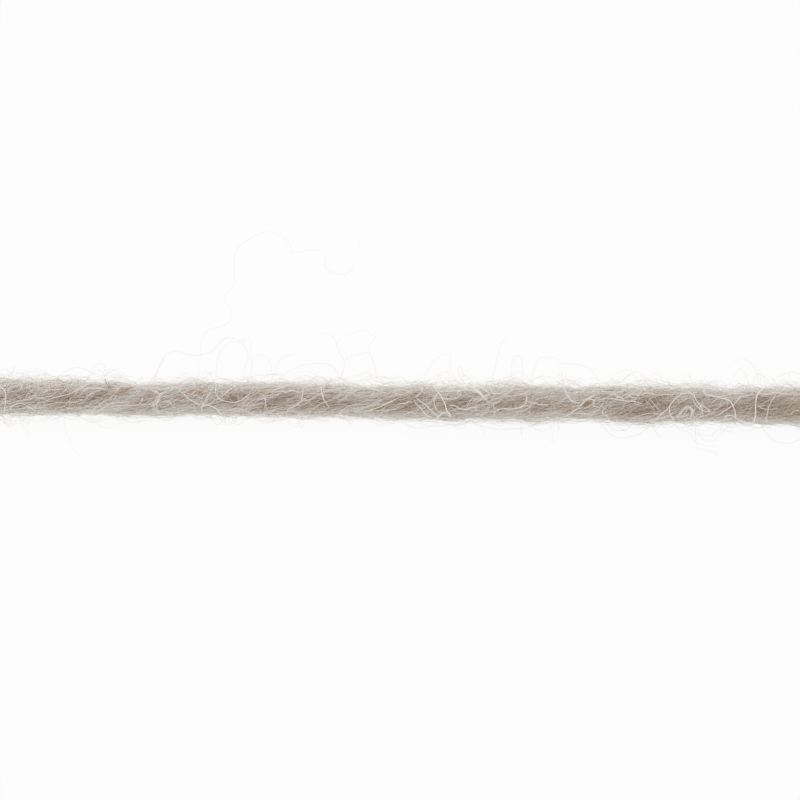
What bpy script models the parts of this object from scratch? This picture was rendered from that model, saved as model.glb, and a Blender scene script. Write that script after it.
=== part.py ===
"""A cut length of knitting wool: three soft plies twisted to the left, lying straight on a table.

The strand lies along +X with +Z up. Its underside is pressed flat where it rests at z = 0, and
the origin is on the table under the middle of the strand. Its loose fuzz isn't solid and isn't
made here.
"""

import math

import bmesh
import bpy

# Driving dimensions, in metres
LENGTH = 0.048              # from one cut end to the other
BODY_RADIUS = 0.00100       # middle of the strand to the crown of a ply
PLY_RADIUS = 0.00064        # one ply, as it lies squeezed against its neighbours
PLY_OFFSET = BODY_RADIUS - PLY_RADIUS   # middle of the strand to the middle of a ply
TWIST_PITCH = 0.0074        # length of one full turn of the plies
REST_HEIGHT = 0.00088       # middle of the strand above the table, its crowns pressed flat
END_ROUNDING = 0.00030      # length over which a cut end draws in
END_SHRINK = 0.10           # how much narrower the cut face is than the strand

PLIES = 3
FIRST_PLY_ANGLE = math.radians(65.0)    # the first ply's place at the middle of the strand
STEPS_ALONG = 140           # sections along the strand
STEPS_ROUND = 28            # points round each section
BLEND_SHARPNESS = 14.0      # how crisp the grooves between the plies are

# The strand's sideways wander, in millimetres: it isn't stretched tight
WANDER_MM = (
    # along, across
    (-24.0, 0.02),
    (-20.0, 0.03),
    (-15.0, -0.06),
    (-10.5, 0.03),
    (-6.0, 0.02),
    (-1.5, -0.06),
    (2.5, -0.08),
    (6.0, 0.00),
    (9.0, 0.07),
    (13.0, -0.02),
    (17.0, 0.04),
    (21.0, -0.02),
    (24.0, 0.01),
)

# Each ply is thick and thin by turns: how much, how often and from where, for each of them
PLY_UNEVENNESS = (
    # share of the radius, length of one swell in metres, start in turns
    (0.055, 0.0131, 0.10),
    (0.045, 0.0092, 0.55),
    (0.060, 0.0167, 0.80),
)

WOOL_COLOUR = (0.56, 0.50, 0.44, 1.0)   # undyed grey-beige wool
WOOL_ROUGHNESS = 0.92


def remove_all_objects():
    for old in list(bpy.data.objects):
        bpy.data.objects.remove(old, do_unlink=True)


def wool_material():
    material = bpy.data.materials.new("undyed_wool")
    material.use_nodes = True
    shader = material.node_tree.nodes["Principled BSDF"]
    shader.inputs["Base Color"].default_value = WOOL_COLOUR
    shader.inputs["Roughness"].default_value = WOOL_ROUGHNESS
    shader.inputs["Metallic"].default_value = 0.0
    return material


def wander(x):
    """Sideways place of the strand's middle at x, eased from one row of the table to the next."""
    rows = [(along / 1000.0, across / 1000.0) for along, across in WANDER_MM]
    for (x0, y0), (x1, y1) in zip(rows, rows[1:]):
        if x <= x1:
            share = max(0.0, min(1.0, (x - x0) / (x1 - x0)))
            return y0 + (y1 - y0) * (1.0 - math.cos(math.pi * share)) / 2.0
    return rows[-1][1]


def ply_radius(ply, x):
    share, swell, start = PLY_UNEVENNESS[ply]
    return PLY_RADIUS * (1.0 + share * math.sin(2.0 * math.pi * (x / swell + start)))


def reach(x, angle):
    """Distance from the strand's middle to its surface at x, in the direction of angle.

    The section is three overlapping discs, one for each ply, with the corners between them
    blended. Angle is measured from +Y towards +Z.
    """
    total = 0.0
    for ply in range(PLIES):
        place = FIRST_PLY_ANGLE + 2.0 * math.pi * ply / PLIES - 2.0 * math.pi * x / TWIST_PITCH
        turn = angle - place
        radius = ply_radius(ply, x)
        across = PLY_OFFSET * math.sin(turn)
        edge = PLY_OFFSET * math.cos(turn) + math.sqrt(radius * radius - across * across)
        total += (edge / BODY_RADIUS) ** BLEND_SHARPNESS
    return BODY_RADIUS * total ** (1.0 / BLEND_SHARPNESS)


def end_scale(x):
    """1 along the strand, and a little less in the last stretch before a cut end."""
    from_end = min(x + LENGTH / 2.0, LENGTH / 2.0 - x)
    share = max(0.0, 1.0 - from_end / END_ROUNDING)
    return 1.0 - END_SHRINK * share * share


def section(bm, x):
    """One ring of points round the strand, with its lowest points pressed flat on the table."""
    ring = []
    for step in range(STEPS_ROUND):
        angle = 2.0 * math.pi * step / STEPS_ROUND
        distance = reach(x, angle) * end_scale(x)
        y = wander(x) + distance * math.cos(angle)
        z = max(0.0, REST_HEIGHT + distance * math.sin(angle))
        ring.append(bm.verts.new((x, y, z)))
    return ring


def strand_sections():
    """Places of the sections: even along the strand, with a closer one inside each cut end."""
    places = [-LENGTH / 2.0 + LENGTH * step / STEPS_ALONG for step in range(STEPS_ALONG + 1)]
    places.insert(1, places[0] + END_ROUNDING / 2.0)
    places.insert(-1, places[-1] - END_ROUNDING / 2.0)
    return places


def make_strand():
    bm = bmesh.new()
    rings = [section(bm, x) for x in strand_sections()]
    for ring, following in zip(rings, rings[1:]):
        for step in range(STEPS_ROUND):
            beside = (step + 1) % STEPS_ROUND
            bm.faces.new((ring[step], following[step], following[beside], ring[beside]))
    bm.faces.new(rings[0])
    bm.faces.new(list(reversed(rings[-1])))
    bmesh.ops.recalc_face_normals(bm, faces=bm.faces)
    bmesh.ops.triangulate(bm, faces=bm.faces)

    mesh = bpy.data.meshes.new("yarn_strand")
    bm.to_mesh(mesh)
    bm.free()
    mesh.materials.append(wool_material())
    mesh.shade_smooth()
    mesh.set_sharp_from_angle(angle=math.radians(50.0))
    strand = bpy.data.objects.new("yarn_strand", mesh)
    bpy.context.scene.collection.objects.link(strand)
    return strand


remove_all_objects()
make_strand()
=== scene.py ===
"""Knitting wool: a cut length of three-ply strand with its laid fibres, fuzz and stray hairs.

Sizes are in millimetres. The strand lies along +X on a table at z = 0. Angles round it are
measured from +Y towards +Z, and a place on it is given along it and across it.
"""
import math

import bpy
import numpy as np
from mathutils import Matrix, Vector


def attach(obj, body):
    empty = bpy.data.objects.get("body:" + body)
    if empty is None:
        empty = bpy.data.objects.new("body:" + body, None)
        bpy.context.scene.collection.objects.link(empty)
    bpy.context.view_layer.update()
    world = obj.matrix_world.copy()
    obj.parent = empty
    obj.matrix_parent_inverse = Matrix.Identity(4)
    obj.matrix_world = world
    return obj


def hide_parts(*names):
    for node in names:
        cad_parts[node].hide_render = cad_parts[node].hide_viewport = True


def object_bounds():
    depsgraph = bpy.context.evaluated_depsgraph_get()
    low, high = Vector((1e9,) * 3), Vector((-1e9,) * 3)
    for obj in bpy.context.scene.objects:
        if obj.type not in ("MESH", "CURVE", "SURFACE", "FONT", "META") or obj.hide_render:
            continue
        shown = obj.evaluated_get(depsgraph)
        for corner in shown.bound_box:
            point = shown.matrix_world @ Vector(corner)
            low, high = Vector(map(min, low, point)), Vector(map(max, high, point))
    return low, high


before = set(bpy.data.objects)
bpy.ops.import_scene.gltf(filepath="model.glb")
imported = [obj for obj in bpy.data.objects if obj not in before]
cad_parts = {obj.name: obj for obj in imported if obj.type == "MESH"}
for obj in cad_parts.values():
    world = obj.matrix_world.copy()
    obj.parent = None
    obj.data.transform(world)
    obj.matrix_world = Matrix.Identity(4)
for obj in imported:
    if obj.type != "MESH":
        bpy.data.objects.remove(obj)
solid_low, solid_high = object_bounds()

# ------------ sizes
MM = 0.001
FULL_TURN = 2.0 * math.pi
BODY = "root"
STRAND_NODE = "yarn_strand"

HALF_LENGTH = solid_high.x / MM         # the strand runs this far to each side of the origin
BODY_RADIUS = 1.00                      # middle of the strand to the crown of a ply
PLY_RADIUS = 0.64
PLY_OFFSET = BODY_RADIUS - PLY_RADIUS
TWIST_PITCH = 7.4                       # one full turn of the plies
REST_HEIGHT = 0.88                      # middle of the strand above the table
PLIES = 3
FIRST_PLY_ANGLE = math.radians(65.0)
BLEND_SHARPNESS = 14.0                  # how crisp the grooves between the plies are
FIBRE_CLEARANCE = 0.03                  # lowest fibres above the table
MEAN_REACH = 0.90                       # the solid's reach, taken over its crowns and grooves
GROOVE_SHARE = 0.5                      # how deep the wool's grooves are, beside the solid's
LAY_SLOPE = 0.45                        # how fast the fibres run round the strand, a millimetre

# The strand's sideways wander
WANDER = np.array((
    # along, across
    (-24, 0.02), (-20, 0.03), (-15, -0.06), (-10.5, 0.03), (-6, 0.02), (-1.5, -0.06), (2.5, -0.08), (6, 0),
    (9, 0.07), (13, -0.02), (17, 0.04), (21, -0.02), (24, 0.01),
))

# Each ply is thick and thin by turns
PLY_UNEVENNESS = np.array((
    # share of the radius, length of one swell, start in turns
    (0.055, 13.1, 0.10),
    (0.045, 9.2, 0.55),
    (0.060, 16.7, 0.80),
))

# How much thicker the loose wool lies along the strand, and its tone
WOOL_ALONG = np.array((
    # along, thicker on the +Y side, thicker on the other side, change of tone
    (-24, 0.03, 0.12, 0.03), (-20.5, 0, 0.11, 0.02), (-19.3, -0.05, 0.07, 0.01), (-18.3, 0.02, 0.09, 0),
    (-17.2, 0.02, -0.05, 0.03), (-16, 0, 0.02, 0.06), (-15.2, 0.04, 0.02, 0.06), (-14.5, -0.05, 0.01, 0.06),
    (-13.4, -0.11, 0.11, 0.05), (-12, -0.07, 0.02, 0.04), (-9.8, 0.01, -0.03, 0), (-8.2, -0.07, 0.08, 0.03),
    (-7.5, 0.03, 0.03, 0.04), (-5.5, -0.01, 0.05, 0.01), (-3.8, -0.05, 0.01, -0.01),
    (-2.6, -0.02, -0.1, 0.01), (-1.3, -0.02, -0.02, 0.04), (1, 0.06, 0.03, 0), (2.2, 0.02, 0.01, 0.03),
    (3.5, -0.02, 0.05, 0.05), (4.6, 0.03, -0.02, 0.03), (5.6, 0.03, 0.07, 0.02), (7.6, 0, 0.12, 0.05),
    (8.7, -0.02, 0, 0.05), (9.9, -0.04, 0, 0.06), (11.3, 0.08, 0.13, -0.01), (12.5, 0.09, 0.09, -0.05),
    (13.5, 0.08, 0.17, -0.06), (14.9, 0.12, 0, -0.03), (16.2, 0.02, 0.13, 0.03), (18, -0.04, 0.07, 0.01),
    (20.6, 0.13, 0.11, -0.06), (24, 0.1, 0.1, -0.07),
))
BAND_SLANT = 1.5            # the darker and paler stretches lean with the plies

# Painted shade in hollows on the strand's upper side, or paler places where the last number is below 0
PAINTED_HOLLOW_SHADE = np.array((
    # along, across, half length, half width, rise a millimetre, how dark
    (-21.4, 0.05, 0.5, 0.25, 0, -0.2), (-20.3, 0.42, 1, 0.2, 0.2, 0.09), (-20.3, -0.1, 0.4, 0.2, 0.2, 0.08),
    (-20.2, -0.55, 0.6, 0.2, 0.1, -0.08), (-20.7, -0.15, 0.5, 0.25, 0.25, 0.15),
    (-20, -0.1, 1.4, 0.22, 0.25, 0.06), (-19.7, 0.67, 0.45, 0.18, 0, -0.07),
    (-19.4, -0.2, 0.6, 0.25, 0.3, -0.24), (-19, 0.05, 0.4, 0.2, 0.2, -0.15),
    (-18.9, -0.48, 0.4, 0.2, 0.2, 0.13), (-18.2, -0.27, 1, 0.28, 0.28, 0.23),
    (-17.8, 0.1, 0.5, 0.2, 0.2, 0.06), (-17.8, 0.47, 0.6, 0.2, 0.2, 0.09),
    (-17.7, -0.2, 0.6, 0.25, 0.3, 0.17), (-17.2, -0.5, 0.6, 0.3, 0.2, -0.15),
    (-17, -0.78, 0.5, 0.2, 0, -0.1), (-16.9, -0.2, 0.35, 0.15, 0.1, -0.08),
    (-16.1, 0.24, 0.8, 0.3, 0.5, 0.04), (-15.8, -0.05, 0.3, 0.2, 0, 0.06),
    (-15.8, 0.42, 0.4, 0.2, 0.3, 0.13), (-15.3, 0.85, 0.3, 0.15, 0, 0.06),
    (-14.8, 0.1, 0.7, 0.32, 0.2, -0.27), (-13.6, -0.15, 0.9, 0.3, 0.6, 0.15),
    (-13.4, 0.55, 0.8, 0.25, 0.1, -0.07), (-12.6, 0.38, 0.4, 0.22, 0.2, -0.07),
    (-11.5, -0.02, 0.5, 0.2, 0.2, -0.2), (-11.3, 0.33, 0.6, 0.19, 0.45, 0.07),
    (-10, -0.5, 0.5, 0.25, 0.4, -0.12), (-11.3, -0.5, 0.6, 0.2, 0.1, 0.09),
    (-9.5, 0.75, 0.4, 0.15, 0, 0.08), (-8.7, 0.33, 0.9, 0.33, 0.25, 0.11),
    (-8.7, -0.25, 0.5, 0.25, 0, 0.25), (-8.5, 0.75, 0.6, 0.2, 0, -0.16),
    (-7.8, 0.28, 0.35, 0.2, 0.2, -0.16), (-7.4, -0.65, 0.6, 0.25, 0, -0.08),
    (-7.2, -0.2, 1.1, 0.25, 0.3, 0.13), (-6.9, 0.42, 0.4, 0.18, 0.2, 0.12),
    (-6.3, 0.08, 0.4, 0.18, 0.2, -0.1), (-6.6, -0.5, 0.6, 0.2, 0.1, 0.15), (-5.6, 0.15, 0.5, 0.2, 0.2, 0.1),
    (-4.5, 0.45, 0.4, 0.2, 0.2, 0.12), (-4.7, -0.08, 0.45, 0.22, 0.3, -0.18),
    (-4.4, -0.2, 1.3, 0.28, 0.3, 0.14), (-3.6, -0.25, 0.8, 0.24, 0.1, 0.22),
    (-3.5, -0.12, 0.45, 0.2, 0.1, 0.12), (-2.7, 0.1, 0.4, 0.2, 0.2, 0.1), (-2.7, -0.75, 0.6, 0.2, 0, -0.11),
    (-2.5, -0.45, 0.5, 0.22, 0.3, -0.22), (-2.1, -0.15, 0.35, 0.2, 0.2, -0.14),
    (-2.3, 0.24, 0.7, 0.22, 0.3, 0.05), (-1.5, 0.12, 0.45, 0.25, 0.4, -0.3),
    (-1.1, -0.25, 0.3, 0.12, 0.3, 0.07), (-0.9, -0.25, 1.1, 0.28, 0.3, 0.15),
    (-0.5, 0, 0.6, 0.25, 0.2, 0.08), (-0.4, -0.75, 0.5, 0.2, 0, -0.1), (-0.1, 0.3, 0.5, 0.25, 0.3, 0.12),
    (0.5, -0.1, 0.9, 0.36, 0.5, 0.18), (0.7, 0.5, 0.3, 0.15, 0, 0.06), (2.1, 0.07, 0.5, 0.25, 0.1, -0.07),
    (2.2, 0.45, 0.3, 0.15, 0, -0.07), (2.1, -0.5, 0.5, 0.2, 0, 0.08), (3.3, 0.1, 1, 0.3, 0.15, 0.14),
    (3.6, -0.25, 0.6, 0.22, 0.1, 0.17), (4.5, -0.48, 0.4, 0.15, 0, 0.14), (5.1, 0.4, 0.4, 0.2, 0, 0.1),
    (3.9, 0.45, 0.45, 0.2, -0.2, -0.24), (4.6, -0.7, 0.5, 0.2, 0.1, -0.18),
    (5.9, 0.03, 1.3, 0.28, 0.3, 0.09), (5.95, 0.15, 0.4, 0.2, 0.2, -0.17), (6.2, 0.85, 0.5, 0.2, 0, -0.07),
    (6.8, 0.42, 0.3, 0.15, 0, -0.08), (6.7, -0.2, 0.6, 0.22, 0.2, 0.24), (7.5, 0.12, 0.45, 0.2, 0.2, 0.18),
    (8.1, -0.5, 1, 0.27, 0.35, 0.17), (8.6, 0.1, 0.5, 0.2, 0.1, -0.12), (8.2, -0.05, 0.35, 0.15, 0.2, -0.1),
    (9, 0.36, 0.6, 0.27, 0.1, -0.16), (9, -0.2, 0.6, 0.24, 0.2, 0.33), (10.2, 0.06, 0.3, 0.16, 0.4, 0.12),
    (10.3, -0.35, 0.6, 0.25, 0, -0.13), (11.1, 0.35, 0.4, 0.25, 0, 0.22), (11.7, -0.55, 0.7, 0.3, 0, 0.16),
    (12.5, -0.45, 0.5, 0.2, 0, 0.09), (11.7, 0.73, 0.5, 0.15, 0, -0.07), (13.1, 0.75, 0.8, 0.2, 0, -0.07),
    (13.5, -0.6, 0.6, 0.3, 0, 0.19), (14.2, 0.4, 0.6, 0.25, 0.1, 0.14), (13.8, 0.12, 1.4, 0.38, 0.35, 0.15),
    (14.9, -0.3, 0.4, 0.3, 0, -0.11), (15, -0.75, 0.5, 0.22, 0, -0.2), (15, 0.72, 0.6, 0.18, 0, 0.08),
    (15.1, -0.17, 0.9, 0.25, 0.4, 0.05), (15.8, 0.14, 0.5, 0.25, 0, -0.21), (16.9, 0.1, 0.5, 0.2, 0.2, 0.1),
    (16.1, -0.5, 0.6, 0.22, 0, 0.14), (17, -0.08, 0.6, 0.25, 0.1, 0.17), (17, 0.13, 0.9, 0.25, 0.25, 0.09),
    (17.1, 0.75, 0.5, 0.15, 0, -0.08), (17.6, -0.5, 0.5, 0.2, 0, -0.07), (18.3, 0.13, 0.4, 0.2, 0, -0.16),
    (18.7, -0.3, 1, 0.33, 0.35, 0.22), (19.6, 0.2, 0.5, 0.25, -0.1, 0.26), (20.3, 0.5, 0.8, 0.25, 0, 0.22),
    (20.5, -0.5, 1, 0.25, 0.1, 0.2), (20.8, 0.05, 0.5, 0.2, 0.1, -0.08), (20.5, 0.1, 1.7, 0.45, 0.2, 0.11),
    (21.2, 0.35, 0.5, 0.2, 0, -0.1),
))

# Tan and rusty places on the strand's upper side
RUST = np.array((
    # along, across, half length, half width, rise a millimetre, how strong
    (-20.85, 0.3, 0.3, 0.08, 0.35, 0.45), (-20.2, 0.4, 0.2, 0.1, 0, 0.3),
    (-20.2, -0.2, 0.5, 0.12, 0.3, 0.3), (-19.3, 0.32, 0.3, 0.14, 0.3, 0.38),
    (-18.4, 0.65, 0.5, 0.1, 0.1, 0.22), (-18.2, -0.27, 0.75, 0.16, 0.3, 0.45),
    (-17.3, -0.05, 0.5, 0.1, 0.2, 0.38), (-15.4, 0.45, 0.4, 0.25, 0.4, 0.3),
    (-14.9, 0.42, 0.4, 0.12, 0.45, 0.9), (-13.7, -0.18, 0.55, 0.08, 0.45, 0.38),
    (-13.4, 0.15, 0.4, 0.12, 0.1, 0.3), (-12.3, -0.2, 0.4, 0.15, 0.3, 0.3),
    (-11.4, 0.3, 0.4, 0.1, 0.1, 0.8), (-10.8, 0.55, 0.5, 0.12, 0.35, 0.8),
    (-11, -0.45, 0.3, 0.08, 0.2, 0.22), (-9.3, 0.22, 0.4, 0.14, 0.5, 0.15),
    (-8.2, 0.25, 0.4, 0.12, 0.3, 0.38), (-7.7, 0.42, 0.45, 0.1, 0.15, 0.52),
    (-7.1, -0.25, 0.35, 0.18, 0.3, 0.38), (-6, -0.2, 0.5, 0.07, 0.35, 0.6),
    (-5.4, 0.68, 0.18, 0.1, 0, 0.38), (-4.9, 0.12, 0.45, 0.08, 0.35, 0.38), (-5, -0.35, 0.5, 0.1, 0.2, 0.3),
    (-2.3, 0.08, 0.6, 0.1, 0.1, 0.25), (-2.2, 0.7, 0.3, 0.1, 0.3, 0.3), (-1, -0.2, 0.4, 0.08, 0.4, 0.52),
    (-0.1, 0.15, 0.4, 0.1, 0.2, 0.3), (0.25, 0.25, 0.25, 0.1, 0.3, 0.45),
    (0.6, -0.2, 0.16, 0.16, 0.5, 0.65), (1.7, 0.4, 0.25, 0.12, 0.5, 0.38),
    (1.65, -0.55, 0.18, 0.12, 0, 0.38), (2.25, -0.25, 0.16, 0.12, 0, 0.65),
    (2.8, 0.05, 0.35, 0.1, 0.1, 0.38), (3.5, 0.58, 0.3, 0.1, 0, 0.3), (4.8, 0.27, 0.25, 0.12, 0.4, 0.8),
    (5.2, 0.42, 0.2, 0.08, 0.1, 0.45), (5.6, -0.15, 0.5, 0.08, 0.1, 0.38), (5.9, 0.75, 0.6, 0.12, 0, 0.3),
    (6.45, 0.2, 0.4, 0.12, 0.3, 0.65), (7.8, -0.25, 0.35, 0.1, 0.3, 0.3), (8, 0.12, 0.4, 0.08, 0.1, 0.22),
    (8.4, 0.32, 0.4, 0.1, 0.1, 0.38), (9.5, 0.75, 0.45, 0.14, 0, 0.3), (9.6, -0.15, 0.35, 0.1, 0.4, 0.38),
    (10.2, 0.08, 0.24, 0.14, 0.35, 1), (10.7, 0.65, 0.4, 0.06, 0.1, 0.38), (11.5, 0.45, 0.6, 0.1, 0, 0.3),
    (12.5, 0.72, 0.45, 0.08, 0, 0.38), (12.3, -0.38, 0.8, 0.12, 0.1, 0.38),
    (13.2, -0.1, 0.3, 0.15, 0, 0.25), (13.9, 0.25, 0.7, 0.2, 0.25, 0.3),
    (14.45, -0.15, 0.25, 0.16, 0.5, 0.7), (14.7, 0.35, 0.35, 0.14, 0, 0.25),
    (15.3, 0.12, 0.6, 0.14, 0.2, 0.3), (16.5, -0.37, 0.6, 0.1, -0.1, 0.45),
    (18.3, -0.15, 0.6, 0.1, 0.1, 0.25), (18.4, -0.45, 0.3, 0.08, 0, 0.38), (19.2, 0.4, 0.2, 0.15, 0, 0.15),
    (19.6, -0.08, 0.5, 0.1, 0, 0.15), (21.3, -0.15, 0.5, 0.08, 0.2, 0.6),
))
RUST_SHARE = 0.78           # how much of the rust listed here the wool takes
USUAL_STAIN = 0.05          # how tan the wool is everywhere
FLANK_STAIN = 0.11          # and how much more so a millimetre from the strand's line
SPOT_FADE = 0.3             # the painted shade of hollows, and rust, fade out over this height above the strand's middle


# ------------ the strand's form and tone
def tone_along(x, y):
    return np.interp(x - BAND_SLANT * y, WOOL_ALONG[:, 0], WOOL_ALONG[:, 3])


def thicker(x, angle):
    """How much further out than usual the loose wool lies at x, in the direction of angle."""
    upper = np.interp(x, WOOL_ALONG[:, 0], WOOL_ALONG[:, 1])
    lower = np.interp(x, WOOL_ALONG[:, 0], WOOL_ALONG[:, 2])
    return lower + (upper - lower) * (0.5 + 0.5 * np.cos(angle))


def wander(x):
    """Sideways place of the strand's middle at x, eased from one row of the table to the next."""
    row = np.clip(np.searchsorted(WANDER[:, 0], x, side="right") - 1, 0, len(WANDER) - 2)
    x0, y0, x1, y1 = WANDER[row, 0], WANDER[row, 1], WANDER[row + 1, 0], WANDER[row + 1, 1]
    share = np.clip((x - x0) / (x1 - x0), 0.0, 1.0)
    return y0 + (y1 - y0) * (1.0 - np.cos(np.pi * share)) / 2.0


def ply_angle(ply, x):
    """The direction of a ply's middle from the strand's at x."""
    return FIRST_PLY_ANGLE + FULL_TURN * ply / PLIES - FULL_TURN * x / TWIST_PITCH


def ply_radius(ply, x):
    share, swell, start = PLY_UNEVENNESS[ply]
    return PLY_RADIUS * (1.0 + share * np.sin(FULL_TURN * (x / swell + start)))


def reach(x, angle):
    """Distance from the strand's middle to the surface of its solid: three overlapping discs,
    one for each ply, with the corners between them blended."""
    total = 0.0
    for ply in range(PLIES):
        turn = angle - ply_angle(ply, x)
        across = PLY_OFFSET * np.sin(turn)
        edge = PLY_OFFSET * np.cos(turn) + np.sqrt(ply_radius(ply, x) ** 2 - across ** 2)
        total = total + (edge / BODY_RADIUS) ** BLEND_SHARPNESS
    return BODY_RADIUS * total ** (1.0 / BLEND_SHARPNESS)


def wool_reach(x, angle):
    """Distance to the outside of the loose wool, which half fills the grooves of the solid."""
    return MEAN_REACH + GROOVE_SHARE * (reach(x, angle) - MEAN_REACH) + thicker(x, angle)


def place(x, angle, distance):
    """Points at a distance from the strand's middle, none lower than the table lets it be."""
    y = wander(x) + distance * np.cos(angle)
    z = REST_HEIGHT + distance * np.sin(angle)
    return np.stack([x, y, np.maximum(z, FIBRE_CLEARANCE)], axis=-1)


def direction(points):
    """The angle round the strand at which each point lies."""
    x, y, z = np.moveaxis(points, -1, 0)
    return np.arctan2(z - REST_HEIGHT, y - wander(x))


# Broad soft patches that run with the lay, each with its turns round the strand, its drift along
# it in radians a millimetre, and its start
PATCHES = 18
patch_rng = np.random.default_rng(7)
PATCH_TURNS = patch_rng.integers(2, 8, PATCHES)
PATCH_RATES = patch_rng.uniform(-1.8, 1.8, PATCHES)
PATCH_STARTS = patch_rng.uniform(0.0, FULL_TURN, PATCHES)
PATCH_TONE = 0.05           # how much darker or paler they are


def patches(x, angle):
    turned = angle + LAY_SLOPE * x
    total = 0.0
    for turns, rate, start in zip(PATCH_TURNS, PATCH_RATES, PATCH_STARTS):
        total = total + np.cos(turns * turned + rate * x + start)
    return PATCH_TONE * total / math.sqrt(PATCHES / 2)


def spots(points, rows):
    """Soft slanted spots on the strand's upper side, added up at each point."""
    x, y, z = np.moveaxis(points, -1, 0)
    total = np.zeros(x.shape)
    for along, across, half_length, half_width, rise, strength in rows:
        off = (y - across - rise * (x - along)) / half_width
        total += strength * np.exp(-((x - along) / half_length) ** 2 - off ** 2)
    return total * np.clip((z - REST_HEIGHT) / SPOT_FADE, 0.0, 1.0)


GROOVE_PAINTED_SHADE = 1.4           # painted shade: how fast the wool darkens into the grooves between the plies, a millimetre
FLANK_PAINTED_LIGHT = 0.35           # painted light: how much paler the strand's upper flanks are than its top
FLANK_EDGE = 0.6            # how much more so they are near their outer edges
FLANK_MEAN = 0.23           # their mean share of it, taken off so that the usual tone holds; this paints the top and the underside a little darker
FLANK_LEAN = 0.01           # how much less of it the +Y side has, which the light already brightens
FLANK_START, FLANK_RISE = 0.45, 1.6     # their share level with the middle, and its rise above
DEEP_TONE, DEEP_SHARE = -0.20, 0.5      # below this tone, this share of any darkening is left out


def wool_tone(points):
    """How much darker or paler the wool is at each point than its usual tone, with painted shade in its
    grooves and hollows and painted light on its upper flanks.
    """
    x, y = points[..., 0], points[..., 1]
    angle = direction(points)
    # painted shade, deeper into the grooves between the plies
    groove_shade = GROOVE_PAINTED_SHADE * GROOVE_SHARE * (reach(x, angle) - MEAN_REACH)
    # painted light on the upper flanks, and painted shade on the top and the underside
    upper = np.clip(FLANK_START + FLANK_RISE * np.sin(angle), 0.0, 1.0)
    flank = upper * (np.cos(angle) ** 2 + FLANK_EDGE * np.cos(angle) ** 4)
    side = FLANK_PAINTED_LIGHT * (flank - FLANK_LEAN * np.cos(angle) - FLANK_MEAN)
    # spots of painted shade in hollows are taken off the tone here
    tone = tone_along(x, y) + groove_shade + side + patches(x, angle) - spots(points, PAINTED_HOLLOW_SHADE)
    return tone - DEEP_SHARE * np.minimum(tone - DEEP_TONE, 0.0)


def wool_stain(points):
    """How tan or rusty the wool is at each point."""
    flank = np.minimum(np.abs(points[:, 1]), BODY_RADIUS)
    return USUAL_STAIN + FLANK_STAIN * flank + RUST_SHARE * spots(points, RUST)


# ------------ camera, light and floor
VIEW_WIDTH = 43.3           # what the camera sees across, at the height of the strand's middle
LENS, SENSOR = 100.0, 36.0
CAMERA_HEIGHT = VIEW_WIDTH * LENS / SENSOR      # above the strand's middle
CAMERA_ROLL = math.radians(0.70)
CAMERA_ACROSS = 0.11        # the camera stands a little to the +Y side of the strand's line
CLIP_START = 1.0
SKY_LIGHT = 0.72
SOFTBOX_SIZE = 300.0
SOFTBOX_POWER = 0.40
SOFTBOX_BACK, SOFTBOX_HEIGHT = 160.0, 350.0
SOFTBOX_TILT = math.radians(-24.6)      # so that it faces the strand
FLOOR_HALF = 1500.0
FLOOR_ALBEDO, FLOOR_GLOW = 0.10, 0.89
WHITE = (1.0, 1.0, 1.0, 1.0)


def new_object(name, data):
    made = bpy.data.objects.new(name, data)
    bpy.context.scene.collection.objects.link(made)
    return made


camera_data = bpy.data.cameras.new("camera")
camera_data.lens = LENS
camera_data.sensor_width = SENSOR
camera_data.clip_start = CLIP_START * MM
camera = new_object("camera", camera_data)
camera.location = (0.0, CAMERA_ACROSS * MM, (REST_HEIGHT + CAMERA_HEIGHT) * MM)
camera.rotation_euler = (0.0, 0.0, CAMERA_ROLL)
bpy.context.scene.camera = camera
bpy.context.scene.view_settings.view_transform = "Standard"

world = bpy.data.worlds.new("studio")
world.use_nodes = True
sky = world.node_tree.nodes["Background"]
sky.inputs["Color"].default_value = WHITE
sky.inputs["Strength"].default_value = SKY_LIGHT
bpy.context.scene.world = world

softbox_data = bpy.data.lights.new("softbox", "AREA")
softbox_data.size = SOFTBOX_SIZE * MM
softbox_data.energy = SOFTBOX_POWER
softbox = new_object("softbox", softbox_data)
softbox.location = (0.0, SOFTBOX_BACK * MM, SOFTBOX_HEIGHT * MM)
softbox.rotation_euler = (SOFTBOX_TILT, 0.0, 0.0)


# ------------ materials
class Wire:
    """A node's output that Python's operators work on: each operator adds its Math node."""

    def __init__(self, finish, socket):
        self.finish, self.socket = finish, socket

    def math(self, operation, *values):
        inputs = dict(enumerate(values))
        return self.finish.node("ShaderNodeMath", {"operation": operation}, inputs)

    def __add__(self, other):
        return self.math("ADD", self, other)

    def __sub__(self, other):
        return self.math("SUBTRACT", self, other)

    def __rsub__(self, other):
        return self.math("SUBTRACT", other, self)

    def __mul__(self, other):
        return self.math("MULTIPLY", self, other)

    __radd__, __rmul__ = __add__, __mul__


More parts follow.
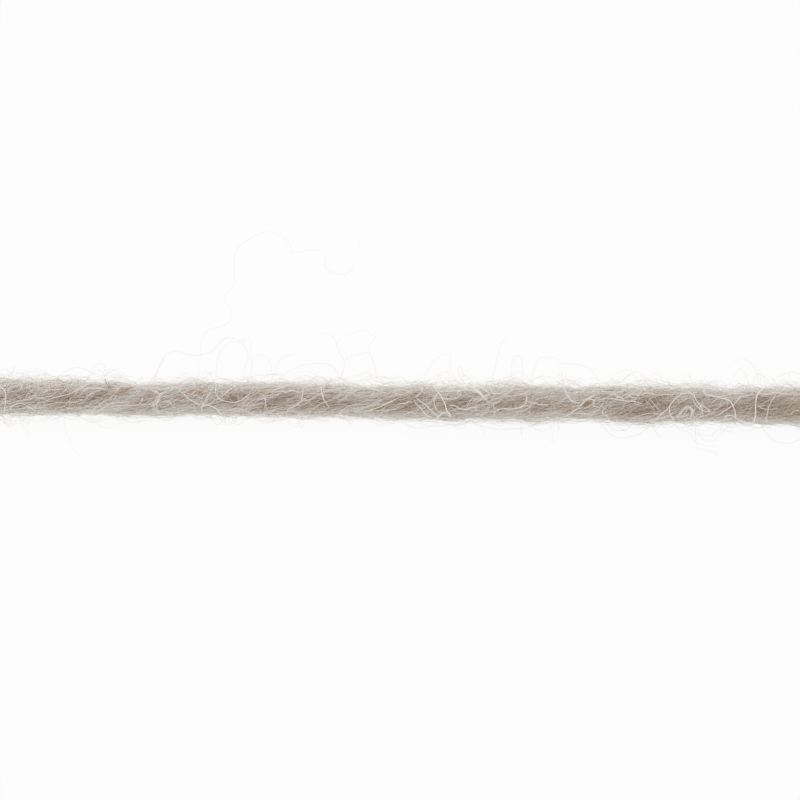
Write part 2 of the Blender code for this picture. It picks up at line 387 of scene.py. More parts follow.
class Finish:
    """A material with its Principled shader, and one method for every other node."""

    def __init__(self, name, **constants):
        self.material = bpy.data.materials.new(name)
        self.material.use_nodes = True
        self.tree = self.material.node_tree
        self.shader = self.tree.nodes["Principled BSDF"]
        for socket, value in constants.items():
            self.shader.inputs[socket.replace("_", " ")].default_value = value

    def node(self, kind, settings=None, inputs=None, output=0):
        made = self.tree.nodes.new(kind)
        for name, value in (settings or {}).items():
            if name == "stops":
                self.set_stops(made.color_ramp, value)
            else:
                setattr(made, name, value)
        for key, value in (inputs or {}).items():
            if isinstance(value, Wire):
                self.tree.links.new(value.socket, made.inputs[key])
            else:
                made.inputs[key].default_value = value
        return Wire(self, made.outputs[output])

    def set_stops(self, ramp, stops):
        while len(ramp.elements) < len(stops):
            ramp.elements.new(1.0)
        for element, (position, colour) in zip(ramp.elements, stops):
            element.position = position
            element.color = (*colour, 1.0)

    def held(self, name, output="Fac"):
        """What the mesh holds under a name at each of its points."""
        return self.node("ShaderNodeAttribute", {"attribute_name": name}, output=output)

    def noise(self, spot, scale, detail=2.0):
        inputs = {"Vector": spot, "Scale": scale, "Detail": detail}
        return self.node("ShaderNodeTexNoise", inputs=inputs)

    def mottle(self, amount, grain):
        """Noise about 0 all over the piece: how far it goes, and how long its patches are."""
        spot = self.node("ShaderNodeTexCoord", output="Object")
        return (self.noise(spot, 1.0 / (grain * MM)) - 0.5) * amount

    def feed(self, socket, wire):
        self.tree.links.new(wire.socket, self.shader.inputs[socket])


# Wool colours from the darkest stained fibre to the palest bleached one
WOOL_STOPS = (
    (0.00, (0.40, 0.28, 0.19)),
    (0.20, (0.54, 0.425, 0.33)),
    (0.50, (0.69, 0.590, 0.503)),
    (0.75, (0.89, 0.820, 0.748)),
    (1.00, (0.985, 0.951, 0.904)),
)
# The same where the wool is stained tan or rust
RUST_STOPS = (
    (0.00, (0.40, 0.24, 0.15)),
    (0.20, (0.55, 0.37, 0.25)),
    (0.50, (0.71, 0.51, 0.38)),
    (0.75, (0.90, 0.73, 0.59)),
    (1.00, (0.98, 0.89, 0.79)),
)
TONE = "tone"               # every point of the wool holds its place on the scales above
STAIN = "stain"             # and how far it goes from the first scale to the second
LAY = "lay"                 # and the body's points their places along and across the fibres
MIX_SHARE, MIX_FIRST, MIX_SECOND, MIX_RESULT = 0, 6, 7, 2       # a Mix node's sockets for colours


def wool_colour(finish, shade):
    """The colour of wool at a shade between 0 and 1, with its tan and rusty places."""
    plain = finish.node("ShaderNodeValToRGB", {"stops": WOOL_STOPS}, {0: shade})
    rusty = finish.node("ShaderNodeValToRGB", {"stops": RUST_STOPS}, {0: shade})
    amount = finish.held(STAIN) + finish.mottle(amount=0.35, grain=0.5)
    colours = {MIX_SHARE: amount, MIX_FIRST: plain, MIX_SECOND: rusty}
    return finish.node("ShaderNodeMix", {"data_type": "RGBA"}, colours, MIX_RESULT)


def wool_finish(name, mottle, grain):
    """Wool whose colour follows its tone, mottled a little along each fibre."""
    finish = Finish(name, Roughness=0.85, Specular_IOR_Level=0.3)
    shade = finish.held(TONE) + finish.mottle(mottle, grain)
    finish.feed("Base Color", wool_colour(finish, shade))
    return finish


FINE_STREAK, BROAD_STREAK = 0.20, 0.18      # how far the body's streaks darken it
STREAK_DEPTH = 0.03


def body_finish():
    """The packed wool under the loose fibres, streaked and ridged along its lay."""
    finish = Finish("packed_wool", Roughness=0.9, Specular_IOR_Level=0.2)
    lay = finish.held(LAY, output="Vector")
    fine = finish.noise(lay, scale=14.0, detail=4.0)
    broad = finish.noise(lay, scale=4.0)
    streaks = (fine - 0.5) * FINE_STREAK + (broad - 0.5) * BROAD_STREAK
    finish.feed("Base Color", wool_colour(finish, finish.held(TONE) + streaks))
    finish.feed("Normal", finish.node("ShaderNodeBump", inputs={
        "Height": fine, "Distance": STREAK_DEPTH * MM, "Strength": 0.7}))
    return finish


def floor_finish():
    """A pale light table: it glows a little, so that the strand's shadow on it is faint."""
    finish = Finish("pale_floor", Roughness=0.9, Specular_IOR_Level=0.0)
    finish.shader.inputs["Base Color"].default_value = (*(FLOOR_ALBEDO,) * 3, 1.0)
    finish.shader.inputs["Emission Color"].default_value = WHITE
    finish.shader.inputs["Emission Strength"].default_value = FLOOR_GLOW
    return finish


floor_mesh = bpy.data.meshes.new("floor")
corners = [(x * FLOOR_HALF * MM, y * FLOOR_HALF * MM, 0.0)
           for x, y in ((-1, -1), (1, -1), (1, 1), (-1, 1))]
floor_mesh.from_pydata(corners, [], [(0, 1, 2, 3)])
floor_mesh.materials.append(floor_finish().material)
floor = new_object("floor", floor_mesh)


# ------------ meshes from arrays
def unit(vectors):
    return vectors / np.maximum(np.linalg.norm(vectors, axis=-1, keepdims=True), 1e-12)


def tube_faces(tubes, rings, sides):
    """The faces of closed tubes, whose points are numbered by tube, ring and side: how many
    points each face has, and which."""
    index = np.arange(tubes * rings * sides).reshape(tubes, rings, sides)
    beside = np.roll(index, -1, axis=2)
    quads = np.stack([index[:, :-1], beside[:, :-1], beside[:, 1:], index[:, 1:]], axis=-1)
    caps = np.concatenate([index[:, 0, ::-1], index[:, -1]])
    sizes = np.concatenate([np.full(quads.size // 4, 4), np.full(len(caps), sides)])
    return sizes, np.concatenate([quads.ravel(), caps.ravel()])


def hold(mesh, name, kind, field, values):
    """Keep values for each point of a mesh under a name, for its finish to read."""
    held = mesh.attributes.new(name, kind, "POINT")
    held.data.foreach_set(field, values.astype(np.float32).ravel())


def new_piece(name, finish, points, faces, tone):
    """A mesh object from arrays in millimetres: its points, faces and the tone of each point."""
    sizes, face_points = faces
    mesh = bpy.data.meshes.new(name)
    mesh.vertices.add(len(points))
    mesh.vertices.foreach_set("co", (points * MM).astype(np.float32).ravel())
    mesh.loops.add(len(face_points))
    mesh.loops.foreach_set("vertex_index", face_points.astype(np.int32))
    mesh.polygons.add(len(sizes))
    starts = np.concatenate([[0], np.cumsum(sizes)[:-1]])
    mesh.polygons.foreach_set("loop_start", starts.astype(np.int32))
    mesh.update(calc_edges=True)
    mesh.shade_smooth()
    hold(mesh, TONE, "FLOAT", "value", np.clip(tone, 0.0, 1.0))
    hold(mesh, STAIN, "FLOAT", "value", wool_stain(points))
    mesh.materials.append(finish.material)
    piece = new_object(name, mesh)
    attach(piece, BODY)
    return piece


SIDES = 3                   # a fibre's section is a triangle
LEAN = np.array((0.21, 0.35, 0.91))     # no fibre runs quite along this
TAPER = 8                   # the higher, the nearer to its tips a fibre thins
MAP_SHAPE = 90.0            # how many more rows than columns a map of fibres has, as a ratio
MAP_GAPS = (0.02, 0.08)     # bare share at each end of a fibre's strip, and at each side
CRIMP_WAVES = ((0.7, 1.4), (0.3, 0.6))      # ranges of the lengths of its long and short waves
CRIMP_HEIGHTS = (0.4, 1.4)
CRIMP_SHORT = 0.4           # height of the short waves beside the long ones


def side_directions(lines):
    """Two directions across each line at each of its points, carried along without twisting."""
    along = unit(np.gradient(lines, axis=1))
    first = unit(np.cross(along[:, 0], LEAN))
    carried = [first]
    for ahead in np.moveaxis(along[:, 1:], 1, 0):
        last = carried[-1]
        carried.append(unit(last - (last * ahead).sum(-1, keepdims=True) * ahead))
    across = np.stack(carried, axis=1)
    return across, np.cross(along, across)


def fibre_map(fibres, points):
    """Each fibre's own strip on a square map: a place for each corner of each face."""
    columns = max(1, round(math.sqrt(fibres / MAP_SHAPE)))
    rows = math.ceil(fibres / columns)
    fibre = np.arange(fibres)[:, None, None, None]
    step = np.arange(points - 1)[:, None, None] + np.array((0, 0, 1, 1))
    side = np.arange(SIDES)[:, None] + np.array((0, 1, 1, 0))
    gap, edge = MAP_GAPS
    u = gap + (1.0 - 2.0 * gap) * step / (points - 1)
    v = edge + (1.0 - 2.0 * edge) * side / SIDES
    strip = np.empty((fibres, points - 1, SIDES, 4, 2))
    strip[..., 0] = (fibre % columns + u) / columns
    strip[..., 1] = (fibre // columns + v) / rows
    caps = np.repeat(strip[:, 0, 0, 0], SIDES, axis=0)
    return np.concatenate([strip.reshape(-1, 2), caps, caps])


def new_fibres(name, finish, lines, radius, tone):
    """One piece of thin tubes, closed at both ends. lines is (fibre, point, 3), radius is
    (fibre, point), and tone is that too, or one number a fibre, or one for all."""
    fibres, points = lines.shape[:2]
    across, over = side_directions(lines)
    turn = FULL_TURN * np.arange(SIDES)[:, None] / SIDES
    ring = np.cos(turn) * across[:, :, None, :] + np.sin(turn) * over[:, :, None, :]
    skin = lines[:, :, None, :] + radius[:, :, None, None] * ring
    tone = np.repeat(np.broadcast_to(tone, (fibres, points)), SIDES, axis=1).ravel()
    piece = new_piece(name, finish, skin.reshape(-1, 3), tube_faces(fibres, points, SIDES), tone)
    layer = piece.data.uv_layers.new(name="OFBake")
    layer.data.foreach_set("uv", fibre_map(fibres, points).ravel())
    return piece


def tapered(thickness, points, tip=0.35):
    """Fibres' radii along their lengths: thickness is one number a fibre, tip its share there."""
    share = np.abs(np.linspace(-1.0, 1.0, points))
    return 0.5 * np.reshape(thickness, (-1, 1)) * (1.0 - (1.0 - tip) * share ** TAPER)


def crimp(rng, s, amplitude, wave):
    """Small irregular waves along fibres, s being the distance along them."""
    column = (len(s), 1)
    long, short = [np.sin(FULL_TURN * (s / (wave * rng.uniform(*waves, column)) + rng.random(column)))
                   for waves in CRIMP_WAVES]
    return amplitude * rng.uniform(*CRIMP_HEIGHTS, column) * (long + CRIMP_SHORT * short)


# ------------ the body under the fibres
CORE_SHARE = 0.68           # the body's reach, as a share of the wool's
CORE_TONE = 0.46
CORE_SECTIONS, CORE_ROUND = 720, 64
END_DEPTH = 0.12            # the body stops this far inside the cut tips of its fibres
END_FLARE, END_RUN = 0.17, 0.35     # how much wider it is there, as a share, and over what length
RIDGES = 60                 # how many waves make up the ridges along its lay
RIDGE_TURNS = (5, 30)       # the fewest of them round the strand, and one more than the most
RIDGE_DRIFT = 1.3           # how far they stray from the lay, in radians a millimetre
RIDGE_HEIGHT = 0.012
RIDGE_PAINTED_LIGHT = 1.5            # painted light: how much paler the ridges are, a millimetre, and the hollows between them as much darker
LAY_STRETCH = 0.10          # how much slower the body's streaks change along it than across


def make_core():
    rng = np.random.default_rng(11)
    half = HALF_LENGTH - END_DEPTH
    x = np.linspace(-half, half, CORE_SECTIONS)[:, None]
    angle = np.linspace(0.0, FULL_TURN, CORE_ROUND, endpoint=False)[None, :]
    turned = angle + LAY_SLOPE * x
    ridges = np.zeros((CORE_SECTIONS, CORE_ROUND))
    for _ in range(RIDGES):
        wave = rng.integers(*RIDGE_TURNS) * turned + rng.normal(0.0, RIDGE_DRIFT) * x
        ridges += np.cos(wave + rng.uniform(0.0, FULL_TURN))
    ridges *= RIDGE_HEIGHT / math.sqrt(RIDGES / 2)
    share = CORE_SHARE + END_FLARE * np.clip(1.0 - (half - np.abs(x)) / END_RUN, 0.0, 1.0)
    distance = wool_reach(x, angle) * share + ridges
    x = np.broadcast_to(x, distance.shape)
    points = place(x, np.broadcast_to(angle, distance.shape), distance)
    # painted light on the raised ridges and painted shade between them
    tone = CORE_TONE + wool_tone(points) + RIDGE_PAINTED_LIGHT * ridges
    core = new_piece("yarn_body", body_finish(), points.reshape(-1, 3),
                     tube_faces(1, CORE_SECTIONS, CORE_ROUND), tone.ravel())
    lay = np.stack([x * LAY_STRETCH, np.cos(turned), np.sin(turned)], axis=-1)
    hold(core.data, LAY, "FLOAT_VECTOR", "vector", lay)
    return core


# ------------ fibres laid in the body
LAID_COUNT, LAID_POINTS = 2200, 9
LAID_HALVES = (0.8, 2.0)    # half their lengths
LAID_MARGIN = 0.5           # before they are cut, their middles lie up to this far past the ends
LAID_SCATTER = 0.05         # how unevenly they are cut there
LAID_SHORTEST = 0.5         # those that this leaves shorter are left out
LAID_SLANT = 0.16           # how far they stray from the lay's slope
LAID_THICKNESS = (0.020, 0.034)
LAID_TONE, LAID_SPREAD = 0.47, 0.025
LAID_WAVES = ((0.03, 2.2), (0.010, 2.0))    # height and length of their waves: round, in and out
TIP_DEPTH, TIP_BEND = 0.08, 5       # how deep their tips dive, and how suddenly


def laid_fibres(name, finish, seed, depth):
    """Fibres that lie along the body's lay. depth is the range of their distances from the
    strand's middle, as shares of the wool's reach."""
    rng = np.random.default_rng(seed)
    column = (LAID_COUNT, 1)
    middle = rng.uniform(-HALF_LENGTH - LAID_MARGIN, HALF_LENGTH + LAID_MARGIN, column)
    half = rng.uniform(*LAID_HALVES, column)
    limit = HALF_LENGTH - END_DEPTH + rng.normal(0.0, LAID_SCATTER, column)
    start = np.clip(middle - half, -limit, limit)
    stop = np.clip(middle + half, -limit, limit)
    kept = (stop - start)[:, 0] > LAID_SHORTEST
    middle, start, stop = middle[kept], start[kept], stop[kept]
    column = (len(middle), 1)
    x = start + (stop - start) * np.linspace(0.0, 1.0, LAID_POINTS)
    slope = LAY_SLOPE + rng.normal(0.0, LAID_SLANT, column)
    round_wave, deep_wave = LAID_WAVES
    angle = rng.uniform(0.0, FULL_TURN, column) - slope * (x - middle) + crimp(rng, x, *round_wave)
    bury = TIP_DEPTH * np.abs(np.linspace(-1.0, 1.0, LAID_POINTS)) ** TIP_BEND
    distance = wool_reach(x, angle) * rng.uniform(*depth, column) + crimp(rng, x, *deep_wave)
    lines = place(x, angle, distance - bury)
    thickness = rng.uniform(*LAID_THICKNESS, len(middle))
    # the laid fibres take on the wool's painted shade and light too
    tone = LAID_TONE + rng.normal(0.0, LAID_SPREAD, column) + wool_tone(lines)
    return new_fibres(name, finish, lines, tapered(thickness, LAID_POINTS), tone)


# ------------ fuzz and random hairs
UPPER_FUZZ, UPPER_SHIFT = 0.25, 0.03    # how much thicker the fuzz is on the strand's +Y side
CLUMPING = 0.3              # how unevenly thick it is along the strand
THINNEST = 0.3              # and its least share anywhere
FUZZ_WOOL_TONE = 1.2        # how much of the wool's darker and paler places, painted shade and light among them, the fuzz shares
END_STRAY = (-0.25, 0.05)   # how far past the cut ends the hairs nearest to them reach
HAIR_WAVE = 1.8             # length of a hair's waves


def surface_lines(rng, column, points, length, heading, bend, curl, root, rise):
    """Lines that set out near the strand's surface and run over it, between its cut ends.

    heading is the way they set out, from +X towards +Y on the strand's top, bend is how fast
    that turns, in radians a millimetre, and curl how far they wave. root is where they set out,
    beside the wool's reach, and rise is how far each of their points floats above that.
    """
    s = length * np.linspace(0.0, 1.0, points)
    way = heading + bend * s + crimp(rng, s, curl, HAIR_WAVE)
    step = length / (points - 1)
    x = rng.uniform(-HALF_LENGTH, HALF_LENGTH, column) + np.cumsum(np.cos(way) * step, axis=1)
    last = HALF_LENGTH + rng.uniform(*END_STRAY, column)
    x -= np.maximum(x.max(axis=1, keepdims=True) - last, 0.0)
    x += np.maximum(-last - x.min(axis=1, keepdims=True), 0.0)
    turned = np.cumsum(np.sin(way) * step, axis=1) / BODY_RADIUS
    angle = rng.uniform(0.0, FULL_TURN, column) - turned
    clump = 1.0 + UPPER_FUZZ * np.cos(angle) + CLUMPING * patches(x, angle) / PATCH_TONE
    lift = root + rise * np.maximum(clump, THINNEST) + UPPER_SHIFT * np.cos(angle)
    return place(x, angle, wool_reach(x, angle) + lift)


def headings(rng, column, usual, stray):
    """The ways that hairs set out, to either end of the strand. usual and stray are in degrees."""
    way = np.radians(usual + rng.normal(0.0, stray, column))
    return way + np.pi * rng.integers(0, 2, column)


def new_hairs(name, finish, rng, lines, thickness, tone):
    fibres, points = lines.shape[:2]
    wide = rng.uniform(*thickness, fibres)
    # the fuzz takes on the wool's painted shade and light too
    shade = rng.uniform(*tone, (fibres, 1)) + FUZZ_WOOL_TONE * wool_tone(lines)
    return new_fibres(name, finish, lines, tapered(wide, points), shade)


# The layers of fuzz, from the root outwards
FUZZ = (
    # name, seed, how many, where they set out beside the wool's reach, how far off most of them
    # float, lengths, stray from the lay in degrees, thickness, tone
    ("fuzz_root", 30, 3300, -0.26, 0.11, (1.4, 3.2), 8.0, (0.016, 0.024), (0.74, 0.83)),
    ("fuzz_close", 31, 3300, -0.19, 0.15, (1.0, 2.8), 14.0, (0.014, 0.021), (0.85, 0.94)),
    ("fuzz_far", 32, 3000, -0.13, 0.20, (0.9, 2.6), 22.0, (0.013, 0.018), (0.88, 1.03)),
)
FUZZ_POINTS = 10
FUZZ_WAY = 20.0             # the way most of it sets out, in degrees
FUZZ_BEND, FUZZ_CURL = 60.0, 100.0      # degrees of stray for each unit of bend, and of curl
FUZZ_HIGHEST = 3.2          # the highest hair, as a share of the height of most
FUZZ_SWELLS, FUZZ_STARTS = (0.4, 1.2), (0.0, 0.3)   # its rise and fall along a hair, in half turns


def fuzz(name, finish, seed, count, root, height, length, stray, thickness, tone):
    """Fine short hairs in a cloud round the strand, thinning out away from it."""
    rng = np.random.default_rng(seed)
    column = (count, 1)
    length = rng.uniform(*length, column)
    heading = headings(rng, column, FUZZ_WAY, stray)
    bend = rng.normal(0.0, stray / FUZZ_BEND, column)
    share = np.linspace(0.0, 1.0, FUZZ_POINTS)
    peak = np.minimum(rng.exponential(height, column), FUZZ_HIGHEST * height)
    swell = share * rng.uniform(*FUZZ_SWELLS, column) + rng.uniform(*FUZZ_STARTS, column)
    lines = surface_lines(rng, column, FUZZ_POINTS, length, heading, bend, stray / FUZZ_CURL, root,
                          peak * np.abs(np.sin(np.pi * swell)))
    return new_hairs(name, finish, rng, lines, thickness, tone)


CROSSING_COUNT, CROSSING_POINTS = 110, 26
CROSSING_LENGTHS = (1.2, 4.0)
CROSSING_WAY, CROSSING_STRAY = 25.0, 50.0   # the way most of them set out, in degrees
CROSSING_BEND, CROSSING_CURL = 0.7, 0.22
CROSSING_ROOT = -0.02
CROSSING_LIFT, CROSSING_HEIGHT = 0.08, 0.05     # the least height of their middles, and its spread
CROSSING_STEEPNESS = 3.5    # how suddenly they rise from the strand and dive in again
CROSSING_THICKNESS, CROSSING_TONE = (0.020, 0.030), (0.80, 0.98)


def crossing_hairs(name, finish, seed):
    """Longer fine hairs that cross the strand, curl over it and dive in again."""
    rng = np.random.default_rng(seed)
    column = (CROSSING_COUNT, 1)
    length = rng.uniform(*CROSSING_LENGTHS, column)
    heading = headings(rng, column, CROSSING_WAY, CROSSING_STRAY)
    bend = rng.normal(0.0, CROSSING_BEND, column)
    peak = CROSSING_LIFT + rng.exponential(CROSSING_HEIGHT, column)
    share = np.linspace(0.0, 1.0, CROSSING_POINTS)
    rise = peak * np.minimum(1.0, CROSSING_STEEPNESS * np.sin(np.pi * share))
    lines = surface_lines(rng, column, CROSSING_POINTS, length, heading, bend, CROSSING_CURL,
                          CROSSING_ROOT, rise)
    return new_hairs(name, finish, rng, lines, CROSSING_THICKNESS, CROSSING_TONE)


# ------------ hairs placed one by one
def smooth_line(places, points):
    """A smooth line in even steps through places, which are along and across by turns."""
    rows = np.reshape(places, (-1, 2)).astype(float)
    ends = np.vstack([2 * rows[0] - rows[1], rows, 2 * rows[-1] - rows[-2]])
    t = np.linspace(0.0, len(rows) - 1.0, points * 4)
    row = np.minimum(t.astype(int), len(rows) - 2)
    f = (t - row)[:, None]
    a, b, c, d = ends[row], ends[row + 1], ends[row + 2], ends[row + 3]
    line = b + 0.5 * f * ((c - a) + f * ((2 * a - 5 * b + 4 * c - d) + f * (3 * b - a - 3 * c + d)))
    run = np.concatenate([[0.0], np.cumsum(np.linalg.norm(np.diff(line, axis=0), axis=1))])
    even = np.linspace(0.0, run[-1], points)
    return np.stack([np.interp(even, run, column) for column in line.T], axis=1)


def under_camera(line, z):
    """A line at height z that shows at the places given, which are those at the strand's middle:
    the higher it lies, the further it is drawn in towards the camera's foot."""
    foot = np.array((0.0, CAMERA_ACROSS))
    drawn = foot + (line - foot) * (1.0 - (z - REST_HEIGHT) / CAMERA_HEIGHT)[:, None]
    return np.concatenate([drawn, z[:, None]], axis=1)


SHOULDER = 1.25             # a placed hair comes down this far out, as a share of its reach


def over_strand(places, points, lift):
    """A line through places along and across, laid over the strand's top."""
    line = smooth_line(places, points)
    x, y = line.T
    crown = MEAN_REACH + lift
    side = np.clip((y - wander(x)) / (crown * SHOULDER), -1.0, 1.0)
    return under_camera(line, REST_HEIGHT + crown * np.sqrt(1.0 - side ** 2))


